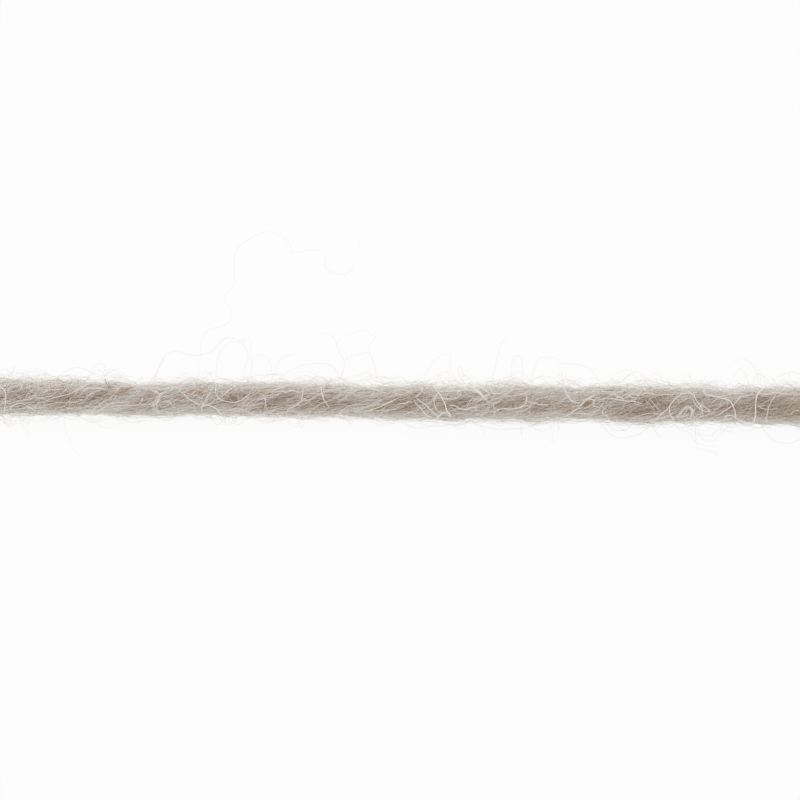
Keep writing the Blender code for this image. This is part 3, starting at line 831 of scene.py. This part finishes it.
HAIRS_OVER = (
    # thickness, then its places over the strand's top, along and across by turns
    (0.045, -21.65, 0.6, -21.45, 0.4, -21.35, 0.15, -21.35, -0.25, -21.4, -0.7, -21.45, -0.95),
    (0.04, -21.1, -0.65, -20.9, -0.4, -20.6, -0.3, -20.25, -0.4, -19.95, -0.6, -19.65, -0.7),
    (0.03, -20, 1, -20.05, 0.65, -20, 0.3),
    (0.03, -20.35, 0.9, -20.5, 0.55, -20.6, 0.3),
    (0.032, -19.35, -0.3, -18.9, -0.05, -18.35, 0.1, -17.8, 0.25, -17.35, 0.5, -16.9, 0.8),
    (0.025, -19.35, -0.45, -18.55, -0.25, -17.8, -0.25, -17.15, -0.1),
    (0.032, -17.2, 0.4, -16.8, 0.55, -16.4, 0.55, -15.9, 0.5),
    (0.032, -16.8, -0.85, -16.45, -0.5, -16.1, -0.2, -15.75, 0),
    (0.035, -16.55, -0.8, -16.1, -0.55, -15.65, -0.3, -15.15, -0.2, -14.65, -0.2),
    (0.032, -15.9, -0.55, -15.35, -0.4, -14.75, -0.35, -14.2, -0.35, -14, -0.15, -13.95, 0.15),
    (0.042, -13.45, 0.5, -13.1, 0.35, -13, 0.05, -13.25, -0.3, -13.2, -0.6, -12.95, -0.85),
    (0.032, -12.45, 0.65, -12.95, 0.25, -13.3, -0.15, -13.35, -0.5, -13.2, -0.7),
    (0.035, -13.05, 0.05, -13.15, -0.3, -13.1, -0.6, -12.75, -0.8, -12.45, -0.65),
    (0.025, -12.75, -0.15, -12.4, -0.25, -12.2, -0.45, -12.35, -0.7, -12.65, -0.8),
    (0.042, -12, 0.5, -11.7, 0.25, -11.45, 0.05, -11.1, -0.15, -10.8, -0.3),
    (0.03, -11.7, 0.4, -11.3, 0.3, -11, 0.5, -10.8, 0.5),
    (0.04, -9.95, 0.85, -10, 0.55, -9.9, 0.2, -9.7, 0, -9.25, -0.1, -8.8, -0.1, -8.45, 0.1, -8.05, 0.4),
    (0.042, -9.7, 0.15, -9.4, 0.4, -9.15, 0.6, -8.95, 0.85, -9.1, 1.1),
    (0.04, -10.7, -0.3, -10.4, -0.3, -10, -0.45, -9.75, -0.7, -9.55, -0.9),
    (0.03, -10.05, 0.9, -10.25, 0.5, -10.4, 0.15, -10.65, -0.15, -10.95, -0.3),
    (0.028, -10.7, -0.65, -10.7, -0.35, -10.45, -0.05, -10.15, 0.25),
    (0.028, -7.5, 0.2, -7.3, 0.05, -7.25, -0.25, -7.2, -0.5),
    (0.03, -6.4, 0.55, -6.25, 0.45, -5.85, 0.55, -5.45, 0.45),
    (0.045, -5.25, 0.6, -5.3, 0.2, -5.35, 0, -5.6, -0.25),
    (0.042, -4.3, 0.9, -4.25, 0.55, -4.15, 0.15, -4, -0.1, -3.8, -0.35),
    (0.032, -4.95, -0.8, -4.75, -0.5, -4.4, -0.2, -4.05, -0.05, -3.8, 0.05),
    (0.03, -6.2, -0.85, -6.1, -0.55, -5.85, -0.35, -5.5, -0.2),
    (0.03, -3.5, -0.85, -3.15, -0.5, -2.75, -0.25, -2.2, -0.15, -1.65, -0.15),
    (0.028, -2.55, -0.6, -2, -0.35, -1.45, -0.2, -0.95, -0.15, -0.45, 0.05),
    (0.028, -1.95, -0.55, -1.15, -0.3, -0.7, -0.1, -0.1, 0.2),
    (0.025, -3.35, 0.65, -3.2, 0.4, -3.5, 0.15, -3.9, 0.1),
    (0.03, -3.05, 0.5, -2.55, 0.7, -2.05, 0.8, -1.55, 0.7, -1, 0.55, -0.55, 0.45),
    (0.028, -6.95, 0.45, -6.4, 0.75, -5.8, 0.9, -5.3, 0.8),
    (0.025, -4.8, 0.15, -4.2, 0.45, -3.5, 0.65),
    (0.028, -9.3, -0.55, -8.75, -0.45, -8.25, -0.6, -7.9, -0.8),
    (0.026, -7.1, -0.7, -6.7, -0.45, -6.25, -0.35),
    (0.055, 1.85, 0.9, 1.95, 0.65, 2.15, 0.45, 2.3, 0.2, 2.45, -0.1, 2.55, -0.45, 2.75, -0.7),
    (0.038, 2.05, 0.65, 2.2, 0.8, 2.45, 0.85, 2.65, 0.75, 2.5, 0.65, 2.2, 0.6, 2.05, 0.65),
    (0.042, 2.05, 0.65, 2.5, 0.6, 2.95, 0.65, 3.3, 0.6, 3.25, 0.45, 3.1, 0.45, 3.1, 0.55, 3.25, 0.65),
    (0.036, 2.3, 0.2, 2.55, 0.2, 2.9, 0.2, 3.15, 0.3, 3.3, 0.45),
    (0.048, 0.85, 0.25, 1.1, 0.05, 1.4, -0.15, 1.65, -0.4, 2, -0.7),
    (0.042, 0.75, 0.15, 0.9, -0.1, 1.15, -0.35, 1.45, -0.7, 1.75, -0.8),
    (0.042, 2.05, 0.5, 1.85, 0.15, 1.9, -0.2, 2.05, -0.45, 2.4, -0.55),
    (0.06, 2, -0.95, 2.05, -0.75, 2.35, -0.55, 2.6, -0.5, 2.75, -0.7, 2.6, -0.75),
    (0.036, 1.2, 0.9, 1.15, 0.55, 0.85, 0.25),
    (0.04, 2.65, -0.15, 2.95, -0.15, 3.2, -0.3, 3.6, -0.35, 3.85, -0.25, 4.3, -0.2),
    (0.035, 3.6, -0.3, 3.75, 0.05, 4, 0.35),
    (0.035, 4.3, 1.1, 4.5, 0.75, 4.75, 0.6, 4.8, 0.45, 4.55, 0.4),
    (0.035, 4.85, 0.95, 5, 0.6, 5.35, 0.5, 5.5, 0.6),
    (0.034, 5.5, 0.3, 5.75, 0.4, 6.2, 0.4, 6.6, 0.5, 6.9, 0.55),
    (0.045, 6.8, 0.6, 6.85, 0.2, 6.75, -0.05, 6.4, -0.25, 6, -0.3, 5.5, -0.3, 5.15, -0.4),
    (0.038, 6.85, 0.15, 7.2, 0.05, 7.6, -0.05, 8.1, -0.05),
    (0.04, 5.5, 0.35, 5.3, 0.05, 5.05, 0, 5.1, -0.25, 5.15, -0.5, 5, -0.8),
    (0.034, 4.3, -0.75, 4.7, -0.5, 5.15, -0.45, 5.45, -0.3),
    (0.042, 8.85, 1.05, 8.95, 0.7, 9.1, 0.4, 9.45, 0.1, 9.75, 0.1),
    (0.03, 9.15, 0.65, 9.15, 0.35, 9.2, 0.3),
    (0.036, 8.85, -0.7, 9.25, -0.5, 9.6, -0.25, 9.95, 0.1, 10.35, 0.4, 10.8, 0.6),
    (0.04, 9.8, 0.1, 10.15, 0.3, 10.55, 0.2, 10.45, -0.05, 10.8, -0.15),
    (0.032, 9.95, -0.25, 10.35, 0, 10.55, 0.3, 10.8, 0.4),
    (0.028, 6.9, -0.4, 7.05, -0.6, 6.8, -0.7, 6.5, -0.7),
    (0.026, 0.2, -0.75, 0.6, -0.5, 1.05, -0.4),
    (0.03, -0.15, -0.1, 0.3, -0.05, 0.6, 0.05),
    (0.03, 3.85, 0.85, 4.15, 0.6, 4.5, 0.5),
    (0.036, 10.8, 0.25, 11.25, 0.35, 11.7, 0.3, 12.2, 0.2, 12.65, 0.2, 13.1, 0.05),
    (0.028, 11.5, 0.7, 11.85, 0.4, 12.15, 0.35, 12.4, 0.45, 12.8, 0.35),
    (0.032, 10.8, -0.05, 11.05, -0.2, 10.95, -0.45, 11.25, -0.65, 11.35, -0.85),
    (0.03, 13.1, 0.1, 12.8, 0, 12.7, 0.2, 12.95, 0.55, 13.1, 0.8),
    (0.048, 13.6, -1, 13.95, -0.65, 14.25, -0.4, 14.55, -0.1, 14.7, 0.15, 15.05, 0.5, 15.35, 0.65,
     15.7, 0.7, 15.9, 0.55, 16.1, 0.2, 16.35, -0.15, 16.4, -0.55),
    (0.046, 14.7, 0.15, 14.6, -0.1, 14.6, -0.4, 14.8, -0.75, 14.9, -0.95),
    (0.042, 15.85, 0.4, 15.95, 0.15, 16.15, -0.1, 16.5, -0.3, 16.8, -0.3),
    (0.034, 16.2, 0.05, 16.55, -0.1, 16.8, -0.3),
    (0.05, 15.05, -0.65, 15.2, -0.4, 15.45, -0.1, 15.7, -0.1, 15.85, -0.3, 15.7, -0.65),
    (0.036, 15.35, -0.6, 15.45, -0.35, 15.6, -0.2),
    (0.048, 16.4, 1.1, 16.5, 0.65, 16.8, 0.55, 17.3, 0.45, 17.8, 0.3, 18, 0.05, 18.15, -0.35, 18.2, -0.65,
     18.6, -0.9),
    (0.038, 18.5, 0.65, 18.25, 0.3, 18, 0, 17.6, -0.25, 17.15, -0.55),
    (0.052, 17.55, -0.8, 17.65, -0.55, 17.95, -0.5, 18.2, -0.65, 18.65, -0.9),
    (0.058, 19.8, 1.1, 19.45, 0.8, 19.3, 0.5, 19.25, 0.1, 19.25, -0.4, 19.2, -0.75, 18.95, -1.05),
    (0.038, 20.35, 0.7, 20.15, 0.35, 19.95, -0.05, 19.9, -0.4, 19.8, -0.85),
    (0.03, 19.4, 0.05, 19.6, -0.1, 20, -0.15, 20.5, -0.1),
    (0.03, 12.8, 0.5, 13.45, 0.65, 13.95, 0.55, 14.7, 0.6),
    (0.028, 14.7, 0.45, 14.8, 0.65),
    (0.026, 13.25, 0.3, 13.6, -0.05, 13.8, -0.35),
    (0.026, 13.55, 0.3, 13.85, -0.05, 14.1, -0.35),
    (0.03, 14.5, 0.8, 15.05, 1.05, 15.65, 1.15, 16.05, 1.05),
    (0.028, 16.85, 0.85, 17.45, 0.8, 18.05, 0.7, 18.6, 0.7),
    (0.036, 19.35, 0.75, 19.8, 0.65, 20.2, 0.75, 20.85, 0.7),
    (0.028, 12.4, -0.85, 12.9, -0.6, 13.45, -0.45, 14, -0.45),
    (0.03, 21.15, -0.45, 21.3, -0.25, 21.6, -0.2),
    (0.026, -20.2, 0.45, -20.15, 0.95),
    (0.024, -20.65, 0.9, -20.5, 0.65, -20.4, 0.4),
    (0.024, -19.85, 0.1, -19.6, 0.25, -19.4, 0.2),
    (0.024, -19.5, 0.35, -19.25, 0.46, -19.1, 0.34, -19.35, 0.25),
    (0.03, -19.5, -0.15, -19.62, -0.35, -19.78, -0.6),
    (0.028, -17.8, 0.22, -17.45, 0.5, -17.05, 0.75),
    (0.028, -17.3, 0.2, -16.95, 0.55, -16.85, 0.85),
    (0.034, -17, -0.63, -16.8, -0.64, -16.55, -0.62),
    (0.024, -18.05, -0.3, -17.85, -0.15),
    (0.024, -16.4, -0.15, -16.2, -0.4, -16.05, -0.6),
    (0.026, -14.35, 0.6, -14.2, 0.38),
    (0.024, -13.5, 0.65, -13.35, 0.42, -13, 0.3),
    (0.026, -13.1, -0.1, -13.15, -0.4, -13.05, -0.75),
    (0.024, -12.9, -0.15, -12.65, -0.1, -12.4, -0.2, -12.3, -0.45),
    (0.024, -12.2, -0.2, -12.15, -0.5),
    (0.026, -11.75, 0.4, -11.55, 0.2, -11.3, 0.25, -11, 0.2, -10.7, 0.05),
    (0.03, -11.1, 0.95, -11.12, 0.6),
    (0.026, -10.75, -0.6, -10.7, -0.25, -10.5, 0.05, -10.35, 0.4),
    (0.024, -8.95, 0.75, -8.7, 0.9, -8.4, 0.85),
    (0.026, -8.6, -0.2, -8.35, -0.05, -8.15, 0.2),
    (0.024, -7.3, 0.2, -7.25, -0.1, -7.35, -0.45),
    (0.024, -7, 0.1, -6.7, 0.3, -6.4, 0.4),
    (0.022, -5.55, -0.2, -5.35, 0, -5.1, 0.15),
    (0.022, 0.1, 0.7, 0.4, 0.6, 0.7, 0.65),
    (0.024, 1.2, 0.85, 1.22, 0.6),
    (0.024, 2.6, 0.1, 2.5, 0.35, 2.6, 0.5),
)
# Short dark hairs, placed likewise
DARK_HAIRS = (
    (0.035, -15.98, 1.1, -15.88, 0.8, -15.7, 0.5),
    (0.03, -15.8, 0.95, -15.72, 0.7, -15.6, 0.5),
    (0.03, -15.75, 0.35, -15.85, 0.1, -15.8, -0.05),
    (0.03, -16.15, 0.3, -15.95, 0.05, -15.75, -0.05),
    (0.04, -15.58, 0.14, -15.46, 0.04),
    (0.04, -15.42, 0.12, -15.24, 0.02),
    (0.035, -15.2, 0.22, -14.95, 0.28, -14.85, 0.24, -14.75, 0.38, -14.6, 0.45),
    (0.03, -13.25, -0.25, -13.22, -0.5),
    (0.03, -13.05, -0.35, -12.95, -0.55),
    (0.03, -9.6, 0, -9.35, 0.08, -9.1, 0.35),
    (0.03, -8.55, 0.25, -8.3, 0.1, -8, 0.2),
    (0.03, -5.6, 0.02, -5.4, 0.12),
    (0.03, 2.6, 0.05, 2.66, -0.15),
    (0.03, 3.1, -0.6, 3.11, -0.78),
    (0.03, 3.36, -0.62, 3.4, -0.75, 3.5, -0.76),
    (0.03, 1.15, 0.62, 1.2, 0.5),
    (0.03, 4.7, 0.15, 4.9, 0.3),
    (0.03, 16.35, -0.1, 16.55, -0.3, 16.8, -0.4),
    (0.03, 17.85, 0.3, 18, 0.15),
)
HAIR_POINTS = 30
HAIR_THICKENING = 1.2       # pale hairs look thinner than they are, so they are made thicker
HAIR_TIP = 0.5
HAIR_LIFT, HAIR_TONE = (0.24, 0.36), (0.92, 1.0)        # lift is from the solid's mean reach
DARK_LIFT, DARK_TONE = (0.14, 0.22), (0.10, 0.22)


def placed_hairs(name, finish, seed, rows, lift, tone):
    rng = np.random.default_rng(seed)
    lines = np.stack([over_strand(places, HAIR_POINTS, rng.uniform(*lift)) for _, *places in rows])
    radius = tapered([HAIR_THICKENING * thick for thick, *_ in rows], HAIR_POINTS, HAIR_TIP)
    return new_fibres(name, finish, lines, radius, rng.uniform(*tone, (len(rows), 1)))


# Fine hairs that stand away from the strand
STRAY_HAIRS = (
    # thickness, then its places, along and across by turns
    (0.012, -11, 0.9, -10.85, 2.2, -10.8, 3.2, -10.5, 3.75, -10, 3.9, -9.5, 4.05, -9.25, 4.3, -9.2, 4.7,
     -9.35, 5.1, -9.55, 5.4, -9.5, 5.7, -9.2, 6.05, -9.05, 6.3, -9.05, 7, -9.08, 7.5, -9, 7.9, -8.9, 8.2,
     -8.65, 8.5, -8.2, 8.75, -7.8, 8.98, -7.3, 9.15, -6.9, 9.1, -6.5, 8.9, -6.2, 8.65, -6, 8.3, -5.9, 8.02,
     -5.3, 8.1, -4.8, 8.2, -4.35, 8.1, -4.15, 7.8, -4.15, 7.3, -3.9, 6.98, -3.5, 6.93, -3.1, 6.85, -2.8, 7,
     -2.65, 7.3, -2.5, 7.8, -2.4, 8.2, -2.27, 8.65),
    (0.016, -13.5, 1, -13.1, 1.7, -12.8, 2.3, -12.2, 2.62, -11.5, 2.42, -10.8, 2.42, -10.4, 2.55,
     -10.05, 2.8, -9.8, 3.1, -9.5, 3.33, -9.2, 3.38, -8.85, 3.28, -8.55, 3.05, -8.35, 2.7, -8.25, 2.4,
     -8.3, 2.1, -8.45, 1.6, -8.5, 1),
    (0.012, -9.9, 1, -9.95, 1.8, -9.8, 2.5, -9.3, 3.1, -8.7, 3.15, -8.15, 3.3, -8.1, 2.4, -8, 1.2),
    (0.012, -8.2, 1, -7.95, 2.2, -7.6, 2.45, -7.25, 2.3, -7.05, 2, -6.9, 1.2),
    (0.014, -6.5, 1.1, -6.2, 1.45, -5.8, 1.7, -5.4, 1.88, -5, 1.98, -4.3, 2.05, -3.9, 2, -3.6, 1.8,
     -3.35, 1.5, -3.3, 1.1),
    (0.012, -6.9, 1.1, -6.6, 2.1, -6.1, 2.45, -5.6, 2.55),
    (0.018, -3.3, 1, -3.15, 1.5, -3.05, 1.9, -3.1, 2.3, -3.3, 2.6, -3.45, 2.9, -3.4, 3.2, -3.25, 3.45),
    (0.012, -3.45, 3, -3.65, 3.45, -4, 3.7, -4.3, 3.6),
    (0.013, -3.05, 1.9, -2.9, 2.35, -2.6, 2.5, -2.1, 2.58, -1.75, 2.7, -1.75, 2.95, -1.5, 3.3, -1.35, 3.6,
     -1.45, 3.9),
    (0.014, -1.75, 2.75, -1.55, 2.35, -1.4, 2, -1.33, 1.6, -1.3, 1.1),
    (0.011, -1.4, 3.5, -2, 3.85, -2.6, 3.7, -3, 3.6),
    (0.013, -3.1, 1.1, -2.8, 1.32, -2.4, 1.4, -2, 1.55, -1.75, 1.65, -1.6, 1.5, -1.7, 1.1),
    (0.02, -13.4, 0.9, -13.2, 1.35, -13, 1.8, -12.8, 2.2),
    (0.014, -20.6, 1, -20.3, 1.35, -19.7, 1.4, -19.1, 1.3, -18.6, 1.1),
    (0.014, -18.7, 1, -18.1, 1.45, -17.5, 1.65, -16.9, 1.5, -16.4, 1.2),
    (0.012, -16.9, 1.1, -16.6, 1.7, -16.3, 1.9, -16, 1.7, -16.1, 1.1),
    (0.012, 1.2, 1, 1.5, 1.8, 2.1, 2.5, 2.6, 2.65, 2.72, 2.2, 2.6, 1),
    (0.014, 3.5, 1, 3.25, 1.4, 3.1, 1.85, 3.25, 1.95, 3.4, 1.5, 3.7, 1.1),
    (0.013, 4.9, 1, 5.1, 1.8, 5.25, 2.6, 5.5, 3.4, 5.85, 3.2),
    (0.013, 5.9, 1, 6, 1.7, 6.1, 2.4, 6.4, 2.6, 6.6, 2.2, 6.65, 1.1),
    (0.012, 7, 1, 7.3, 2, 7.5, 2.45, 7.9, 2.55, 8.4, 2.45, 8.8, 2.2, 9.6, 2.15, 10.3, 1.9, 10.8, 1.1),
    (0.016, 19.4, 0.9, 19.4, 1.4, 19.25, 1.85, 19.05, 2.25, 18.6, 2.55, 18, 2.45),
    (0.014, 19.55, 0.9, 19.5, 1.5, 19.35, 1.95, 19.15, 2.35),
    (0.014, 19.9, 1, 20.3, 1.5, 20.7, 1.75, 21.2, 1.9, 21.7, 1.75),
    (0.016, -21.9, -0.9, -21.5, -1.3, -21, -1.45, -20.5, -1.35, -20.1, -1),
    (0.013, -20.7, -0.9, -20.4, -1.5, -20.1, -2, -20.1, -1.4, -19.9, -0.9),
    (0.013, -17, -0.9, -16.4, -1.35, -15.9, -1.6, -15.3, -1.4, -14.9, -1),
    (0.022, -9.9, -0.85, -9.7, -1, -9.6, -1.15, -9.75, -1.28),
    (0.018, -0.4, -0.9, 0.2, -1.1, 0.6, -1.3, 1.1, -1.4, 1.6, -1.3, 2, -1),
    (0.016, 0.9, -0.9, 1.3, -1.2, 2, -1.3, 2.6, -1.15, 2.9, -0.9),
    (0.02, 3.7, -0.9, 4.1, -1.15, 4.7, -1.3, 5.5, -1.4, 6.5, -1.35, 7.2, -1.2, 7.8, -0.95),
    (0.014, 4.2, -0.9, 4.5, -1.4, 4.65, -1.95),
    (0.013, 8.1, -0.9, 8.25, -1.5, 8.3, -2.2),
    (0.018, 10.8, -0.9, 11.1, -1.25, 11.35, -1.55, 11.8, -1.78, 12.4, -1.75, 13, -1.55, 13.4, -1.2,
     13.5, -0.9),
    (0.018, 13.5, -0.9, 13.8, -1.35, 14.2, -1.85),
    (0.018, 14.6, -0.9, 15.2, -1.3, 15.7, -1.5, 16, -1.95, 16.5, -2.15, 17.1, -2.2),
    (0.016, 15.6, -0.9, 16.1, -1.3, 16.4, -1.8, 16.9, -1.9, 17.4, -1.5, 17.8, -1.1),
    (0.014, 16, -1.1, 16.1, -2.2, 16.6, -2.4, 17, -2.5, 17.3, -2.75),
    (0.014, 15.3, -1, 16.2, -1.55, 16.8, -1.6, 17.3, -1.3, 18.2, -1.45),
    (0.02, 19.5, -0.9, 19.9, -1.5, 20.3, -1.85, 20.9, -1.98, 21.5, -1.85, 22.1, -1.4),
    (0.012, -18.2, -0.9, -18, -1.9, -17.6, -2.8, -17, -3.4),
)
STRAY_POINTS = 60
STRAY_TONE = 0.92
STRAY_CLIMB = 0.25          # how fast a stray hair rises with its distance from the strand
STRAY_HEIGHTS = (0.75, 2.3)             # above the table, where it sets out and at the most


def stray_hairs(name, finish):
    lines = []
    for _, *places in STRAY_HAIRS:
        line = smooth_line(places, STRAY_POINTS)
        off = np.maximum(np.abs(line[:, 1]) - BODY_RADIUS, 0.0)
        root, most = STRAY_HEIGHTS
        lines.append(under_camera(line, root + (most - root) * np.tanh(STRAY_CLIMB * off)))
    radius = tapered([thick for thick, *_ in STRAY_HAIRS], STRAY_POINTS)
    return new_fibres(name, finish, np.stack(lines), radius, STRAY_TONE)


# Tight bundles of hairs
TUFTS = (
    # width, thickness, hairs, tone, then its places, along and across by turns
    (0.1, 0.032, 16, 0.98, 3.75, 1.05, 4.25, 0.62, 4.75, 0.12),
    (0.12, 0.03, 8, 0.95, 2.95, 0.95, 3.55, 0.75, 4.2, 0.6),
    (0.06, 0.032, 8, 0.95, 1.95, -0.95, 2.3, -0.55, 2.75, -0.7),
    (0.13, 0.02, 40, 0.8, 15.05, -0.6, 15.3, -0.25, 15.55, -0.08, 15.76, -0.16, 15.86, -0.38, 15.78, -0.62),
)
TUFT_POINTS = 14
TUFT_LIFT = (0.16, 0.26)
TUFT_SPREAD = 0.35          # how far a bundle's hairs stray, as a share of its width
TUFT_THICKNESS = (0.8, 1.1)             # beside the thickness given


def tufts(name, finish, seed):
    rng = np.random.default_rng(seed)
    lines, tones, thickness = [], [], []
    for width, thick, hairs, tone, *places in TUFTS:
        for _ in range(hairs):
            moved = places + rng.normal(0.0, TUFT_SPREAD * width, len(places))
            lines.append(over_strand(moved, TUFT_POINTS, rng.uniform(*TUFT_LIFT)))
            tones.append([tone])
            thickness.append(thick * rng.uniform(*TUFT_THICKNESS))
    return new_fibres(name, finish, np.stack(lines), tapered(thickness, TUFT_POINTS), tones)


# Clusters of short stained fibres
STAINS = (
    # along, across, half length, half width, slope, how many, tone
    (-15, 0.32, 0.35, 0.07, 0.4, 26, 0.05), (-11.4, 0.32, 0.35, 0.08, 0.1, 16, 0.22),
    (-10.8, 0.55, 0.35, 0.08, 0.35, 10, 0.26), (-7.8, 0.4, 0.35, 0.08, 0.2, 14, 0.22),
    (-9.3, 0.2, 0.25, 0.08, 0.5, 8, 0.24), (-18.2, -0.25, 0.55, 0.12, 0.3, 16, 0.18),
    (-6, -0.2, 0.4, 0.05, 0.35, 10, 0.22), (-1, -0.2, 0.35, 0.06, 0.4, 10, 0.22),
    (0.6, -0.2, 0.12, 0.12, 0.5, 8, 0.22), (2.25, -0.25, 0.12, 0.1, 0.4, 8, 0.22),
    (4.8, 0.27, 0.2, 0.1, 0.4, 10, 0.22), (10.2, 0.06, 0.18, 0.09, 0.4, 18, 0.08),
    (13.8, 0.15, 0.8, 0.16, 0.35, 14, 0.2), (14.45, -0.15, 0.2, 0.12, 0.5, 10, 0.2),
    (6.4, 0.15, 0.5, 0.1, 0.3, 12, 0.22), (21.2, -0.15, 0.5, 0.08, 0.2, 10, 0.2),
)
STAIN_POINTS = 7
STAIN_LIFT = (0.08, 0.18)
STAIN_HALVES = (0.10, 0.26)             # half the fibres' lengths
STAIN_STRAY, STAIN_BOW = 0.35, 0.2      # how far they stray from the slope, and bow
STAIN_THICKNESS = (0.018, 0.030)
STAIN_PALER = 0.12          # the palest one in a cluster, beside the darkest


def stained_fibres(name, finish, seed):
    rng = np.random.default_rng(seed)
    lines, tones = [], []
    for along, across, half_length, half_width, slope, count, tone in STAINS:
        for _ in range(count):
            way = math.atan(slope) + rng.normal(0.0, STAIN_STRAY)
            x = along + half_length * rng.uniform(-1.0, 1.0)
            y = across + slope * (x - along) + half_width * rng.uniform(-1.0, 1.0)
            step = rng.uniform(*STAIN_HALVES) * np.array((math.cos(way), math.sin(way)))
            bow = rng.normal(0.0, STAIN_BOW) * np.array((-step[1], step[0]))
            middle = np.array((x, y))
            places = (middle - step, middle + bow, middle + step)
            lines.append(over_strand(places, STAIN_POINTS, rng.uniform(*STAIN_LIFT)))
            tones.append([tone + rng.uniform(0.0, STAIN_PALER)])
    thickness = rng.uniform(*STAIN_THICKNESS, len(lines))
    return new_fibres(name, finish, np.stack(lines), tapered(thickness, STAIN_POINTS), tones)


# ------------ the cut ends
CUT_COUNT, CUT_POINTS = 800, 4
CUT_ROOTS = (0.3, 0.9)      # how far inside the cut face its fibres set out
CUT_SCATTER = 0.06          # how unevenly they are cut
CUT_TURN = 0.2              # how far they turn round the strand by their tips
CUT_SPREAD, CUT_FLARE = 0.84, 0.10      # the outermost, as a share of the wool's reach
CUT_THICKNESS, CUT_TIP = (0.045, 0.058), 0.7
CUT_TONE, CUT_TONE_SPREAD, CUT_TIP_TONE = 0.64, 0.11, 0.06


def cut_end(name, finish, seed, end):
    """Fibre tips of the cut face at one end, which is -1 or 1."""
    rng = np.random.default_rng(seed)
    column = (CUT_COUNT, 1)
    share = np.linspace(0.0, 1.0, CUT_POINTS)
    root = HALF_LENGTH - rng.uniform(*CUT_ROOTS, column)
    tip = HALF_LENGTH + rng.normal(0.0, CUT_SCATTER, column)
    x = end * (root + (tip - root) * share)
    angle = rng.uniform(0.0, FULL_TURN, column) + rng.normal(0.0, CUT_TURN, column) * share
    spread = np.sqrt(rng.random(column)) * (CUT_SPREAD + CUT_FLARE * share ** 2)
    lines = place(x, angle, spread * wool_reach(x, angle))
    radius = tapered(rng.uniform(*CUT_THICKNESS, CUT_COUNT), CUT_POINTS, CUT_TIP)
    tone = CUT_TONE + rng.normal(0.0, CUT_TONE_SPREAD, column) + CUT_TIP_TONE * share
    return new_fibres(name, finish, lines, radius, tone)


# ------------ the whole strand
core = make_core()
laid_wool = wool_finish("laid_wool", mottle=0.16, grain=0.5)
loose_wool = wool_finish("loose_wool", mottle=0.10, grain=0.6)
fibre_pieces = [
    laid_fibres("laid_fibres_under", laid_wool, 21, depth=(0.67, 0.73)),
    laid_fibres("laid_fibres_over", laid_wool, 22, depth=(0.70, 0.77)),
    *[fuzz(name, loose_wool, *layer) for name, *layer in FUZZ],
    crossing_hairs("crossing_hairs", loose_wool, 41),
    placed_hairs("hairs_over", loose_wool, 42, HAIRS_OVER, HAIR_LIFT, HAIR_TONE),
    placed_hairs("dark_hairs", laid_wool, 45, DARK_HAIRS, DARK_LIFT, DARK_TONE),
    stray_hairs("stray_hairs", loose_wool),
    tufts("pale_tufts", loose_wool, 43),
    stained_fibres("stained_fibres", laid_wool, 44),
    cut_end("cut_end_left", laid_wool, 51, end=-1),
    cut_end("cut_end_right", laid_wool, 52, end=1),
]

ROUTE_POINTS = 33
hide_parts(STRAND_NODE)
route_x = np.linspace(-HALF_LENGTH, HALF_LENGTH, ROUTE_POINTS)
route = np.stack([route_x, wander(route_x), np.full_like(route_x, REST_HEIGHT)], axis=1) * MM
